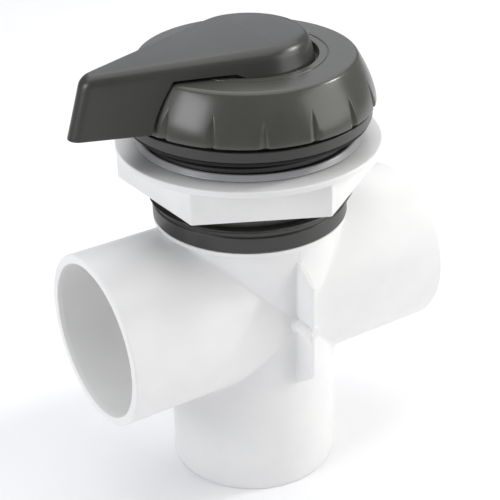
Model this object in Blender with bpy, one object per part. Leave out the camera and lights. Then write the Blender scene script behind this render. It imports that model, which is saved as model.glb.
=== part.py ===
"""Three-port diverter valve for 2-inch slip pipe, built as it comes apart on a bench.

Frame: metres, +Z up along the stem, origin at the centre of the lower socket's rim.
The side ports lie along X, and the handle points to -X at rest, over the closed port.
"""

import math

import bmesh
import bpy
from mathutils import Matrix, Vector

# ---- driving dimensions, in metres ----
GAP = 0.0003                # between surfaces that touch on the real valve
PAST = 0.001                # how far a cutter or a joining solid runs past a face
PIPE_BORE_R = 0.0303        # solvent-weld socket for pipe of 60.3 mm outside diameter
SOCKET_DEPTH = 0.0380
SOCKET_WALL = 0.00385
PASSAGE_R = 0.0262          # bore of the pipe itself
PORT_REACH = 0.0715         # stem axis to the rim of a side port
PORT_HEIGHT = 0.0770        # lower rim to the axis of the side ports
CHAMBER_STEP = 0.0038       # chamber wall outside the passage
MOUTH_CHAMFER = 0.0005
RIM_CHAMFER = 0.0007
COLLAR_H = 0.00185
COLLAR_PROUD = 0.0036
SPIGOT_WALL = 0.0027
SPIGOT_H = 0.0080

FIN_THICK = 0.0018
FIN_PROUD = 0.0095
FIN_HALF = 0.0200           # half height of the fin's outer edge
FIN_FLARE = 0.0075          # extra half height of the fin at its root
NUB_R = 0.0027

NECK_H = 0.0557
NECK_WALL = 0.0048          # at the root of the thread
NECK_BAND_H = 0.0061
THREAD_DEPTH = 0.0026
THREAD_PITCH = 0.0050
CREST_W = 0.0018
ROOT_W = 0.0030
NUT_RIDGE_W = 0.0015
THREAD_CLEAR = 0.0004       # radial, at the crests and at the roots
FIRST_CREST = 0.01115       # neck bottom to the first crest centre at angle 0
RIDGE_ROOT = 0.0008         # a ridge's depth inside the wall it grows from
THREAD_STEPS = 28           # segments in one turn

HEX_R = 0.0504              # to the corners
HEX_H = 0.0126
HEX_TURN = 33.0             # degrees, first corner from +X
NUT_DISC_R = 0.0506
NUT_DISC_H = 0.00235
SLIP_RING_W = 0.0021
SLIP_RING_H = 0.0020
DECK_SPACE = 0.0051         # left between the nut and the gasket
GASKET_H = 0.0015
GASKET_W = 0.0051
DECK_RING_H = 0.0049
DECK_RING_W = 0.0059
RING_CHAMFER = 0.0006

BONNET_FLANGE_INSET = 0.0008 # inside the root of the neck's thread
BONNET_FLANGE_H = 0.0030
BONNET_PLUG_H = 0.0120
BONNET_RING_W = 0.0019      # section of the bonnet O-ring
BONNET_RING_RISE = 0.0042   # plug's lower end to the ring
RING_PLAY = 0.0001          # between an O-ring and its groove
PLUG_FIT = 0.0005
PLUG_CHAMFER = 0.0008
KEY_COUNT = 4
KEY_W = 0.0060
KEY_H = 0.0021
KEY_INSET = 0.0012          # neck bore to a key
KEY_DEPTH = 0.0024
STOP_R_IN = 0.0110
STOP_R_OUT = 0.0138
STOP_DEPTH = 0.0021
STOP_LUG_HALF = 10.0        # degrees
HANDLE_SWEEP = 180.0        # degrees between the stops

STEM_R = 0.0080
STEM_FIT = 0.0003
STEM_RING_W = 0.0017        # section of a stem O-ring
STEM_RING_PITCH = 0.0045
STEM_RING_RISE = 0.0035     # plug's lower end to the lower ring
STEM_COLLAR_R = 0.0115
STEM_COLLAR_H = 0.0030
STEM_RIB = 0.0040
STEM_FOOT_R = 0.0120
STEM_FOOT_H = 0.0030
SQUARE = 0.0100             # drive square across flats
SQUARE_FIT = 0.0003
DRIVE_H = 0.0074            # square above the bonnet

ROTOR_CLEAR = 0.0014        # chamber wall to rotor, room for the seal
ROTOR_WALL = 0.0030
ROTOR_RING_H = 0.0030
ROTOR_DISC_H = 0.0035
GATE_HALF = 79.0            # degrees, half width of the gate
WEAR_RING_H = 0.0007
SEAL_MARGIN = 0.0008        # passage edge to the seal, seen along the port
SEAL_W = 0.0010
SCREW_R = 0.0020
SCREW_HEAD_R = 0.0041
SCREW_HEAD_H = 0.0022
SCREW_L = 0.0140
SCREW_CHAMFER = 0.0008
SCREW_POINT = 0.0010
SLOT_HALF_W = 0.0005
SLOT_DEPTH = 0.0009
WASHER_R = 0.0088
WASHER_H = 0.0010

CAP_R = 0.0480
CAP_H = 0.0178
CAP_DRAW = 0.0076           # radius lost over the height of the skirt
CAP_BEND = 1.5              # power of the height by which the skirt draws in
CAP_EDGE = 0.0012           # chamfer at the shoulder
CAP_PLATE = 0.0035
CAP_HOLE_R = 0.0150
CAP_BOSS_WALL = 0.0030
BOSS_RISE = 0.0005          # skirt's edge to the boss's end
CAP_LIP = 0.0014
CAP_RECESS_R = 0.0265
CAP_RECESS = 0.0021
CAP_GAP = 0.0007            # skirt to deck ring
FLUTES = 16
FLUTE_DEPTH = 0.0009
FLUTE_H = 0.0105
SKIRT_HOLLOW_H = 0.0055     # groove between the boss and the skirt
FLUTE_TURN = -1.4           # degrees, a flute's steep wall from +X
SLIP_WASHER_H = 0.0006
WASHER_INSET = 0.0009       # from the hole and from the flange's edge

HUB_R = 0.0246              # where the handle enters the recess
HUB_DRAFT = 0.26            # radius lost for each unit of height
HANDLE_REACH = 0.0739
HANDLE_TIP_W = 0.0044       # half width at the tip
HANDLE_TIP_LEAN = 0.0060
HANDLE_DROP = 0.0167        # lever underside below the cap's top
HANDLE_TIP_RISE = 0.0050    # tip's top above the cap's top
HANDLE_HUB_RISE = 0.0085
HANDLE_FILLET = 0.0040
HANDLE_WALL = 0.0024
LEVER_CLEAR = 0.0012
HUB_CLEAR = 0.0005
HUB_SIDE = 0.0007
TOP_CLEAR = 0.0004          # added to the gap under the lever over the cap's top
ROOF_DROP = 0.0035          # hollow's roof below the tip's top
WALL_DRAFT = 0.0006
KEEP_INSET = 0.0045         # solid part of the lever inside the cap's rim
SKIRT_FIT = 0.0006

ROUND = 40                  # segments of a large round
SMALL_ROUND = 20

# ---- sizes and heights that follow from them ----
BODY_R = PIPE_BORE_R + SOCKET_WALL
CHAMBER_R = PASSAGE_R + CHAMBER_STEP
SPIGOT_R = CHAMBER_R + SPIGOT_WALL
COLLAR_Z = PORT_HEIGHT + BODY_R
COLLAR_TOP = COLLAR_Z + COLLAR_H
NECK_BORE_R = SPIGOT_R + GAP
ROOT_R = NECK_BORE_R + NECK_WALL
CREST_R = ROOT_R + THREAD_DEPTH
COLLAR_R = BODY_R + COLLAR_PROUD
NUT_BORE_R = CREST_R + THREAD_CLEAR
NUT_MINOR_R = ROOT_R + THREAD_CLEAR
GASKET_R = NUT_BORE_R + GASKET_W
DECK_RING_R = NUT_BORE_R + DECK_RING_W
BONNET_FLANGE_R = ROOT_R - BONNET_FLANGE_INSET
ROTOR_R = CHAMBER_R - ROTOR_CLEAR
SEAL_R_IN = PASSAGE_R + SEAL_MARGIN
CHAMBER_Z = PORT_HEIGHT - SEAL_R_IN - SEAL_W - GAP - WEAR_RING_H  # seal clears the floor's ring
NECK_Z = COLLAR_TOP + GAP
NECK_TOP = NECK_Z + NECK_H
HELIX_Z = NECK_Z + FIRST_CREST
BONNET_Z = NECK_TOP + GAP
BONNET_TOP = BONNET_Z + BONNET_FLANGE_H
PLUG_R = NECK_BORE_R - PLUG_FIT
PLUG_Z = BONNET_Z - BONNET_PLUG_H
SLIP_WASHER_Z = BONNET_TOP + GAP
CAP_PLATE_Z = SLIP_WASHER_Z + SLIP_WASHER_H + GAP
CAP_TOP = CAP_PLATE_Z + CAP_PLATE
CAP_Z = CAP_TOP - CAP_H
RECESS_Z = CAP_TOP - CAP_RECESS
DECK_RING_Z = CAP_Z - CAP_GAP - DECK_RING_H
GASKET_Z = DECK_RING_Z - GAP - GASKET_H
SLIP_RING_Z = GASKET_Z - DECK_SPACE - SLIP_RING_H
NUT_TOP = SLIP_RING_Z - GAP
NUT_Z = NUT_TOP - NUT_DISC_H - HEX_H
ROTOR_Z = CHAMBER_Z + WEAR_RING_H + GAP
ROTOR_DISC_Z = PORT_HEIGHT + SEAL_R_IN + SEAL_W + GAP
ROTOR_TOP = ROTOR_DISC_Z + ROTOR_DISC_H
STEM_BORE_R = STEM_R + STEM_FIT
HUB_Z = RECESS_Z + HUB_CLEAR
SOCKET_FIT = SQUARE + 2 * SQUARE_FIT

PVC = ("white_pvc", (0.86, 0.87, 0.89), 0.28, 0.0)
DARK = ("dark_grey_plastic", (0.105, 0.105, 0.100), 0.42, 0.0)
ACETAL = ("acetal", (0.80, 0.79, 0.74), 0.40, 0.0)
RUBBER = ("epdm_rubber", (0.02, 0.02, 0.02), 0.65, 0.0)
PTFE = ("ptfe", (0.88, 0.88, 0.86), 0.45, 0.0)
STEEL = ("stainless_steel", (0.62, 0.61, 0.59), 0.30, 1.0)


def clear_scene():
    for item in list(bpy.data.objects):
        bpy.data.objects.remove(item, do_unlink=True)


def material(spec):
    name, colour, roughness, metallic = spec
    found = bpy.data.materials.get(name)
    if found:
        return found
    made = bpy.data.materials.new(name)
    made.use_nodes = True
    shader = made.node_tree.nodes["Principled BSDF"]
    shader.inputs["Base Color"].default_value = (*colour, 1.0)
    shader.inputs["Roughness"].default_value = roughness
    shader.inputs["Metallic"].default_value = metallic
    return made


def finish(name, bm, spec):
    """Turns a bmesh into an object with outward faces and soft shading."""
    bmesh.ops.remove_doubles(bm, verts=bm.verts, dist=1e-6)
    bmesh.ops.recalc_face_normals(bm, faces=bm.faces)
    mesh = bpy.data.meshes.new(name)
    bm.to_mesh(mesh)
    bm.free()
    mesh.shade_smooth()
    mesh.set_sharp_from_angle(angle=math.radians(35))
    made = bpy.data.objects.new(name, mesh)
    bpy.context.scene.collection.objects.link(made)
    if spec:
        mesh.materials.append(material(spec))
    return made


def turned_mesh(profile, segments=ROUND):
    """A closed (radius, height) outline turned about Z."""
    bm = bmesh.new()
    verts = [bm.verts.new((r, 0.0, z)) for r, z in profile]
    edges = [bm.edges.new((verts[i - 1], verts[i])) for i in range(len(verts))]
    bmesh.ops.spin(
        bm, geom=verts + edges, cent=(0, 0, 0), axis=(0, 0, 1),
        angle=2 * math.pi, steps=segments, use_merge=True,
    )
    bmesh.ops.dissolve_degenerate(bm, edges=bm.edges, dist=1e-7)
    return bm


def turned(name, profile, spec=None, segments=ROUND):
    return finish(name, turned_mesh(profile, segments), spec)


def ring(name, r_in, r_out, z_low, z_high, spec=None, segments=ROUND):
    outline = [(r_in, z_low), (r_out, z_low), (r_out, z_high), (r_in, z_high)]
    return turned(name, outline, spec, segments)


def rod(name, r, z_low, z_high, segments=ROUND):
    """A plain cylinder, for cutting."""
    return turned(name, [(0.0, z_low), (r, z_low), (r, z_high), (0.0, z_high)], None, segments)


def o_ring(name, r_mid, section, z, spec, segments=32, sides=8):
    turn = 2 * math.pi / sides
    outline = [
        (r_mid + section / 2 * math.cos(k * turn), z + section / 2 * math.sin(k * turn))
        for k in range(sides)
    ]
    return turned(name, outline, spec, segments)


def prism(name, outline, z_low, z_high, spec=None):
    """An (x, y) outline extruded along Z."""
    bm = bmesh.new()
    face = bm.faces.new([bm.verts.new((x, y, z_low)) for x, y in outline])
    raised = bmesh.ops.extrude_face_region(bm, geom=[face])["geom"]
    moved = [item for item in raised if isinstance(item, bmesh.types.BMVert)]
    bmesh.ops.translate(bm, verts=moved, vec=(0, 0, z_high - z_low))
    return finish(name, bm, spec)


def square(half):
    return [(-half, -half), (half, -half), (half, half), (-half, half)]


def pie(r_in, r_out, middle, half, steps=24):
    """Outline of a sector about an angle, all in degrees; r_in may be 0."""
    angles = [math.radians(middle - half + 2 * half * k / steps) for k in range(steps + 1)]
    outer = [(r_out * math.cos(a), r_out * math.sin(a)) for a in angles]
    if r_in == 0:
        return outer + [(0.0, 0.0)]
    inner = [(r_in * math.cos(a), r_in * math.sin(a)) for a in reversed(angles)]
    return outer + inner


def apply_boolean(target, tool, operation="DIFFERENCE"):
    """Adds an exact Boolean and hides the tool."""
    tool.hide_render = True
    tool.display_type = "WIRE"
    step = target.modifiers.new(f"{operation.lower()} {tool.name}", "BOOLEAN")
    step.operation = operation
    step.solver = "EXACT"
    step.object = tool


def lay_along_x(item):
    """Turns a shape made about Z so that it lies about X at port height.

    It is also turned half a facet about itself, so that equal tubes cross cleanly.
    """
    move = Matrix.Translation((0, 0, PORT_HEIGHT))
    half_facet = Matrix.Rotation(math.pi / ROUND, 4, "Z")
    item.matrix_world = move @ Matrix.Rotation(math.pi / 2, 4, "Y") @ half_facet


def helix_ridge(name, z_from, z_to, r_root, r_tip, w_root, w_tip, phase):
    """A thread ridge on the shared helix, from one crest height to another.

    phase is the share of a pitch by which the ridge is raised: 0 on the neck, 0.5 on what
    turns on it. The root is sunk into the wall, and both ends fade into it over 30 degrees.
    """
    sunk = RIDGE_ROOT if r_tip > r_root else -RIDGE_ROOT
    first = math.ceil((z_from - HELIX_Z) / THREAD_PITCH * THREAD_STEPS)
    last = math.floor((z_to - HELIX_Z) / THREAD_PITCH * THREAD_STEPS)
    fade_steps = max(2, THREAD_STEPS // 12)
    bm = bmesh.new()
    rows = []
    for step in range(first, last + 1):
        turn = step / THREAD_STEPS
        angle = 2 * math.pi * (turn - phase)
        z = HELIX_Z + THREAD_PITCH * turn
        fade = min(1.0, (step - first) / fade_steps, (last - step) / fade_steps)
        tip = r_root - 0.5 * sunk + (r_tip - r_root + 0.5 * sunk) * fade
        base = r_root - sunk
        outline = [
            (base, z - w_root / 2), (tip, z - w_tip / 2),
            (tip, z + w_tip / 2), (base, z + w_root / 2),
        ]
        rows.append([
            bm.verts.new((r * math.cos(angle), r * math.sin(angle), h)) for r, h in outline
        ])
    for low, high in zip(rows, rows[1:]):
        for k in range(4):
            bm.faces.new((low[k - 1], low[k], high[k], high[k - 1]))
    bm.faces.new(rows[0])
    bm.faces.new(reversed(rows[-1]))
    return finish(name, bm, None)


def inner_ridge(name, z_low, z_high):
    """The ridge inside whatever screws onto the neck, cut off a little inside both faces."""
    rise = (ROOT_W - CREST_W) / THREAD_DEPTH
    w_root = NUT_RIDGE_W + rise * (NUT_BORE_R - NUT_MINOR_R)
    return helix_ridge(
        name, z_low + w_root / 2 + GAP, z_high - w_root / 2 - GAP,
        NUT_BORE_R, NUT_MINOR_R, w_root, NUT_RIDGE_W, 0.5,
    )


def build_valve_body():
    """Equal tubes crossing at right angles, bored from both sides, with a moulding fin."""
    chamfer = MOUTH_CHAMFER
    top = COLLAR_TOP + SPIGOT_H
    body = turned("valve_body", [
        (0.0, 0.0), (BODY_R - chamfer, 0.0), (BODY_R, chamfer), (BODY_R, COLLAR_Z),
        (COLLAR_R, COLLAR_Z), (COLLAR_R, COLLAR_TOP), (SPIGOT_R, COLLAR_TOP),
        (SPIGOT_R, top), (0.0, top),
    ], PVC)
    run = turned("run_tube", [
        (0.0, -PORT_REACH), (BODY_R - chamfer, -PORT_REACH), (BODY_R, chamfer - PORT_REACH),
        (BODY_R, PORT_REACH - chamfer), (BODY_R - chamfer, PORT_REACH), (0.0, PORT_REACH),
    ])
    lay_along_x(run)
    apply_boolean(body, run, "UNION")

    low, high = PORT_HEIGHT - FIN_HALF, PORT_HEIGHT + FIN_HALF
    edge_y = -BODY_R - FIN_PROUD
    root_y = -BODY_R + SOCKET_WALL / 2
    fin_mesh = bmesh.new()
    outline = [
        (root_y, low - FIN_FLARE), (root_y, high + FIN_FLARE),
        (-BODY_R, high + FIN_FLARE), (edge_y, high), (edge_y, low), (-BODY_R, low - FIN_FLARE),
    ]
    face = fin_mesh.faces.new([fin_mesh.verts.new((-FIN_THICK / 2, y, z)) for y, z in outline])
    raised = bmesh.ops.extrude_face_region(fin_mesh, geom=[face])["geom"]
    moved = [item for item in raised if isinstance(item, bmesh.types.BMVert)]
    bmesh.ops.translate(fin_mesh, verts=moved, vec=(FIN_THICK, 0, 0))
    apply_boolean(body, finish("moulding_fin", fin_mesh, None), "UNION")
    nub = turned("gate_nub", [
        (0.0, BODY_R - SOCKET_WALL / 2), (NUB_R, BODY_R - SOCKET_WALL / 2),
        (NUB_R, -edge_y - PAST), (0.0, -edge_y - PAST),
    ], None, SMALL_ROUND)
    nub.matrix_world = Matrix.Translation((0, 0, PORT_HEIGHT)) @ Matrix.Rotation(
        math.pi / 2, 4, "X"
    )
    apply_boolean(body, nub, "UNION")

    past = 2 * PAST
    mouth_r = PIPE_BORE_R + chamfer
    bore = turned("stem_axis_bore", [
        (0.0, -past), (mouth_r + past, -past), (PIPE_BORE_R, chamfer),
        (PIPE_BORE_R, SOCKET_DEPTH), (PASSAGE_R, SOCKET_DEPTH), (PASSAGE_R, CHAMBER_Z),
        (CHAMBER_R, CHAMBER_Z), (CHAMBER_R, top + past), (0.0, top + past),
    ])
    apply_boolean(body, bore)
    stop_x = PORT_REACH - SOCKET_DEPTH
    half = [
        (PASSAGE_R, stop_x), (PIPE_BORE_R, stop_x), (PIPE_BORE_R, PORT_REACH - chamfer),
        (mouth_r + past, PORT_REACH + past), (0.0, PORT_REACH + past),
    ]
    cross = turned("run_bore", [(r, -x) for r, x in reversed(half)] + half)
    lay_along_x(cross)
    apply_boolean(body, cross)
    return body


def build_neck():
    """Threaded neck cemented over the body's spigot, keyed at its rim for the bonnet."""
    chamfer = RIM_CHAMFER
    neck = turned("threaded_neck", [
        (NECK_BORE_R, NECK_Z), (ROOT_R, NECK_Z), (ROOT_R, NECK_Z + NECK_BAND_H - chamfer),
        (ROOT_R - chamfer, NECK_Z + NECK_BAND_H), (ROOT_R, NECK_Z + NECK_BAND_H + chamfer),
        (ROOT_R, NECK_TOP - chamfer), (ROOT_R - chamfer, NECK_TOP), (NECK_BORE_R, NECK_TOP),
    ], DARK, THREAD_STEPS)
    thread = helix_ridge(
        "neck_thread", NECK_Z + NECK_BAND_H + ROOT_W, NECK_TOP - ROOT_W,
        ROOT_R, CREST_R, ROOT_W, CREST_W, 0.0,
    )
    apply_boolean(neck, thread, "UNION")
    for k in range(KEY_COUNT):
        pocket = key_block(f"key_pocket_{k + 1}", k, GAP)
        apply_boolean(neck, pocket)
    return neck


def key_block(name, index, spare):
    """A bonnet key, or with spare room around it the pocket that it drops into."""
    inner, outer = NECK_BORE_R + KEY_INSET, NECK_BORE_R + KEY_INSET + KEY_DEPTH
    half = KEY_W / 2 + spare
    outline = [
        (inner - spare, -half), (outer + spare, -half), (outer + spare, half),
        (inner - spare, half),
    ]
    low = BONNET_Z - KEY_H - spare
    high = BONNET_Z + (PAST if spare == 0 else GAP)
    block = prism(name, outline, low, high)
    block.rotation_euler = (0, 0, 2 * math.pi * (index + 0.5) / KEY_COUNT)
    return block


def build_deck_stack():
    """Flange ring screwed on the neck, its gasket, and the nut with its slip ring."""
    top = DECK_RING_Z + DECK_RING_H
    edge = RING_CHAMFER
    deck_ring = turned("deck_flange_ring", [
        (NUT_BORE_R, DECK_RING_Z), (DECK_RING_R, DECK_RING_Z), (DECK_RING_R, top - edge),
        (DECK_RING_R - edge, top), (NUT_BORE_R, top),
    ], DARK)
    ridge = inner_ridge("deck_ring_thread", DECK_RING_Z, top)
    apply_boolean(deck_ring, ridge, "UNION")
    ring("deck_gasket", NUT_BORE_R, GASKET_R, GASKET_Z, GASKET_Z + GASKET_H, RUBBER)

    disc_z = NUT_TOP - NUT_DISC_H
    inside = NUT_BORE_R - GAP    # the bore is cut later, through the disc and the hexagon
    nut = turned("lock_nut", [
        (inside, disc_z), (NUT_DISC_R - edge, disc_z), (NUT_DISC_R, disc_z + edge),
        (NUT_DISC_R, NUT_TOP - edge), (NUT_DISC_R - edge, NUT_TOP), (inside, NUT_TOP),
    ], PVC)
    corners = [math.radians(HEX_TURN + 60 * k) for k in range(6)]
    block = prism(
        "hex_block", [(HEX_R * math.cos(a), HEX_R * math.sin(a)) for a in corners],
        NUT_Z, disc_z + NUT_DISC_H / 2,
    )
    apply_boolean(nut, block, "UNION")
    apply_boolean(nut, rod("nut_bore", NUT_BORE_R, NUT_Z - PAST, NUT_TOP + PAST))
    apply_boolean(nut, inner_ridge("nut_thread", NUT_Z, NUT_TOP), "UNION")
    ring(
        "nut_slip_ring", NUT_BORE_R, NUT_BORE_R + SLIP_RING_W, SLIP_RING_Z,
        SLIP_RING_Z + SLIP_RING_H, ACETAL,
    )
    return nut


def build_bonnet():
    """Stepped plug that closes the neck, with O-ring grooves, keys and the stop groove."""
    ring_z = PLUG_Z + BONNET_RING_RISE
    groove_r = PLUG_R - BONNET_RING_W
    groove_half = BONNET_RING_W / 2 + GAP
    stem_z = stem_ring_heights()
    stem_groove_r = STEM_BORE_R + STEM_RING_W + RING_PLAY
    stem_half = STEM_RING_W / 2 + GAP
    inside = []
    for z in reversed(stem_z):
        inside += [
            (STEM_BORE_R, z + stem_half), (stem_groove_r, z + stem_half),
            (stem_groove_r, z - stem_half), (STEM_BORE_R, z - stem_half),
        ]
    bonnet = turned("bonnet", [
        (STEM_BORE_R, PLUG_Z), (PLUG_R - PLUG_CHAMFER, PLUG_Z), (PLUG_R, PLUG_Z + PLUG_CHAMFER),
        (PLUG_R, ring_z - groove_half), (groove_r, ring_z - groove_half),
        (groove_r, ring_z + groove_half), (PLUG_R, ring_z + groove_half),
        (PLUG_R, BONNET_Z), (BONNET_FLANGE_R, BONNET_Z), (BONNET_FLANGE_R, BONNET_TOP),
        (STEM_BORE_R, BONNET_TOP),
    ] + inside, DARK, 32)
    for k in range(KEY_COUNT):
        apply_boolean(bonnet, key_block(f"key_{k + 1}", k, 0.0), "UNION")
    middle = 180.0 + HANDLE_SWEEP / 2
    half = HANDLE_SWEEP / 2 + STOP_LUG_HALF + 1.0
    groove = prism(
        "stop_groove", pie(STOP_R_IN - GAP, STOP_R_OUT + GAP, middle, half),
        BONNET_TOP - STOP_DEPTH, BONNET_TOP + PAST,
    )
    apply_boolean(bonnet, groove)
    o_ring("bonnet_o_ring", PLUG_R - BONNET_RING_W / 2 + RING_PLAY, BONNET_RING_W, ring_z, RUBBER, ROUND)
    r_mid = STEM_BORE_R + STEM_RING_W / 2
    for name, z in zip(("stem_o_ring_lower", "stem_o_ring_upper"), stem_z):
        o_ring(name, r_mid, STEM_RING_W, z, RUBBER, 24)
    ring(
        "stem_thrust_washer", STEM_BORE_R, STEM_COLLAR_R, PLUG_Z - GAP - SLIP_WASHER_H,
        PLUG_Z - GAP, PTFE, 32,
    )
    return bonnet


def stem_ring_heights():
    low = PLUG_Z + STEM_RING_RISE
    return low, low + STEM_RING_PITCH


def build_cap():
    """Screw cap: domed skirt with ratchet flutes, threaded boss, plate with a recess."""
    boss_r = NUT_BORE_R + CAP_BOSS_WALL
    boss_z = CAP_Z + BOSS_RISE
    steps = 6
    skirt = [(CAP_H - CAP_EDGE) * k / steps for k in range(1, steps + 1)]
    outer = [(CAP_R - CAP_EDGE / 2, CAP_Z), (CAP_R, CAP_Z + CAP_EDGE / 2)]
    outer += [(cap_radius(height), CAP_Z + height) for height in skirt]
    outer += [
        (cap_radius(CAP_H) - CAP_EDGE, CAP_TOP), (CAP_RECESS_R, CAP_TOP), (CAP_RECESS_R, RECESS_Z),
    ]
    hollow = [
        (CAP_HOLE_R, RECESS_Z), (CAP_HOLE_R, CAP_PLATE_Z), (NUT_BORE_R, CAP_PLATE_Z),
        (NUT_BORE_R, boss_z), (boss_r, boss_z), (boss_r, CAP_Z + SKIRT_HOLLOW_H),
        (boss_r + GAP * 3, CAP_Z + SKIRT_HOLLOW_H), (CAP_R - FLUTE_DEPTH - CAP_LIP, CAP_Z),
    ]
    bm = turned_mesh(outer + hollow, FLUTES * 3)
    cut_flutes(bm)
    cap = finish("screw_cap", bm, DARK)
    apply_boolean(cap, inner_ridge("cap_thread", boss_z, NECK_TOP), "UNION")
    ring(
        "cap_slip_washer", CAP_HOLE_R + WASHER_INSET, BONNET_FLANGE_R - WASHER_INSET, SLIP_WASHER_Z,
        SLIP_WASHER_Z + SLIP_WASHER_H, PTFE,
    )
    return cap


def cap_radius(height):
    """Outside of the skirt at a height above its lower edge."""
    return CAP_R - CAP_DRAW * (height / CAP_H) ** CAP_BEND


def cut_flutes(bm):
    """Sinks the skirt in a saw-tooth round the cap, fading out over the flute height."""
    for vert in bm.verts:
        r = math.hypot(vert.co.x, vert.co.y)
        height = max(0.0, vert.co.z - CAP_Z)
        lift = height / FLUTE_H
        if lift > 1 or r < cap_radius(height) - CAP_EDGE:
            continue
        turn = (math.degrees(math.atan2(vert.co.y, vert.co.x)) - FLUTE_TURN) % (360 / FLUTES)
        share = turn * FLUTES / 360
        new_r = r - FLUTE_DEPTH * (1 - lift) * share ** 2
        vert.co.x *= new_r / r
        vert.co.y *= new_r / r


def build_stem():
    """Round at the seals, cross-ribbed below them, square at both ends."""
    foot_z = ROTOR_TOP + GAP
    collar_top = PLUG_Z - GAP - SLIP_WASHER_H - GAP
    collar_z = collar_top - STEM_COLLAR_H
    stem = turned("stem", [
        (0.0, foot_z), (STEM_FOOT_R, foot_z), (STEM_FOOT_R, foot_z + STEM_FOOT_H),
        (STEM_RIB, foot_z + STEM_FOOT_H), (STEM_RIB, collar_z), (STEM_COLLAR_R, collar_z),
        (STEM_COLLAR_R, collar_top), (STEM_R, collar_top), (STEM_R, BONNET_TOP),
        (0.0, BONNET_TOP),
    ], ACETAL, 32)
    half = STEM_RIB / 2
    low, high = foot_z + STEM_FOOT_H / 2, collar_z + STEM_COLLAR_H / 2
    for name, outline in (
        ("rib_x", [(-STEM_R, -half), (STEM_R, -half), (STEM_R, half), (-STEM_R, half)]),
        ("rib_y", [(-half, -STEM_R), (half, -STEM_R), (half, STEM_R), (-half, STEM_R)]),
    ):
        apply_boolean(stem, prism(name, outline, low, high), "UNION")
    peg_z = ROTOR_DISC_Z + GAP
    apply_boolean(
        stem, prism("lower_square", square(SQUARE / 2), peg_z, foot_z + PAST), "UNION"
    )
    apply_boolean(
        stem,
        prism("drive_square", square(SQUARE / 2), BONNET_TOP - PAST, BONNET_TOP + DRIVE_H),
        "UNION",
    )
    hole_top = ROTOR_DISC_Z + SCREW_L
    hole = turned("screw_hole", [
        (0.0, peg_z - PAST), (SCREW_R + GAP, peg_z - PAST), (SCREW_R + GAP, hole_top),
        (0.0, hole_top),
    ], None, 16)
    apply_boolean(stem, hole)
    return stem


def build_rotor():
    """Half-round gate between a bottom ring and a top disc, with its saddle seal and screw."""
    inner = ROTOR_R - ROTOR_WALL
    rotor = turned("diverter_rotor", [
        (inner, ROTOR_Z), (ROTOR_R, ROTOR_Z), (ROTOR_R, ROTOR_TOP), (0.0, ROTOR_TOP),
        (0.0, ROTOR_DISC_Z), (inner, ROTOR_DISC_Z),
    ], ACETAL)
    window = prism(
        "rotor_window", pie(0, ROTOR_R * 1.3, 0.0, 180.0 - GATE_HALF, 30),
        ROTOR_Z + ROTOR_RING_H, ROTOR_DISC_Z,
    )
    apply_boolean(rotor, window)
    apply_boolean(
        rotor, prism("rotor_square", square(SOCKET_FIT / 2), ROTOR_DISC_Z - PAST,
                     ROTOR_TOP + PAST),
    )
    build_gate_seal()
    ring(
        "rotor_wear_ring", PASSAGE_R + GAP, CHAMBER_R - GAP, CHAMBER_Z + GAP,
        CHAMBER_Z + GAP + WEAR_RING_H - GAP, PTFE,
    )
    washer_z = ROTOR_DISC_Z - GAP - WASHER_H
    ring(
        "rotor_washer", SCREW_R + GAP, WASHER_R, washer_z, washer_z + WASHER_H, STEEL,
        SMALL_ROUND,
    )
    head_top = washer_z - GAP
    head_z = head_top - SCREW_HEAD_H
    point_z = ROTOR_DISC_Z + SCREW_L - SCREW_POINT
    slot_l, slot_w = SCREW_HEAD_R + PAST, SLOT_HALF_W
    screw = turned("rotor_screw", [
        (0.0, head_z), (SCREW_HEAD_R - SCREW_CHAMFER, head_z),
        (SCREW_HEAD_R, head_z + SCREW_CHAMFER), (SCREW_HEAD_R, head_top), (SCREW_R, head_top),
        (SCREW_R, point_z - SCREW_POINT), (0.0, point_z),
    ], STEEL, SMALL_ROUND)
    slot = prism(
        "screw_slot", [(-slot_l, -slot_w), (slot_l, -slot_w), (slot_l, slot_w), (-slot_l, slot_w)],
        head_z - PAST, head_z + SLOT_DEPTH,
    )
    apply_boolean(screw, slot)
    return rotor


def build_gate_seal():
    """A round ring, seen along the port, laid on the gate's round outside."""
    r_low, r_high = ROTOR_R + GAP, CHAMBER_R - GAP
    seal = bmesh.new()
    rows = []
    steps = 40
    for k in range(steps):
        angle = 2 * math.pi * k / steps
        row = []
        for r, around in (
            (r_low, SEAL_R_IN), (r_high, SEAL_R_IN),
            (r_high, SEAL_R_IN + SEAL_W), (r_low, SEAL_R_IN + SEAL_W),
        ):
            y = around * math.cos(angle)
            row.append(seal.verts.new((
                -math.sqrt(r * r - y * y), y, PORT_HEIGHT + around * math.sin(angle)
            )))
        rows.append(row)
    for k in range(steps):
        for j in range(4):
            seal.faces.new((rows[k - 1][j - 1], rows[k - 1][j], rows[k][j], rows[k][j - 1]))
    return finish("gate_seal", seal, RUBBER)


def handle_outline(hub_r, reach, tip_w, arc_steps=22, tip_steps=8):
    """Hub circle and tip circle, joined by the straight lines that touch both."""
    centre = tip_w - reach
    lean = math.asin((hub_r - tip_w) / -centre)
    points = []
    for k in range(arc_steps + 1):
        angle = (math.pi / 2 + lean) * (1 - 2 * k / arc_steps)
        points.append((hub_r * math.cos(angle), hub_r * math.sin(angle)))
    for k in range(tip_steps + 1):
        angle = -(math.pi / 2 + lean) - (math.pi - 2 * lean) * k / tip_steps
        points.append((centre + tip_w * math.cos(angle), tip_w * math.sin(angle)))
    return points


def handle_level(height, inset):
    """Outline of the handle at a height above the cap's top, moved in by an inset."""
    share = (height + HANDLE_DROP) / (HANDLE_DROP + HANDLE_TIP_RISE)
    hub_r = HUB_R - HUB_DRAFT * height - inset
    reach = HANDLE_REACH - HANDLE_TIP_LEAN * share - inset
    return handle_outline(hub_r, reach, HANDLE_TIP_W - 0.6 * inset)


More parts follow.
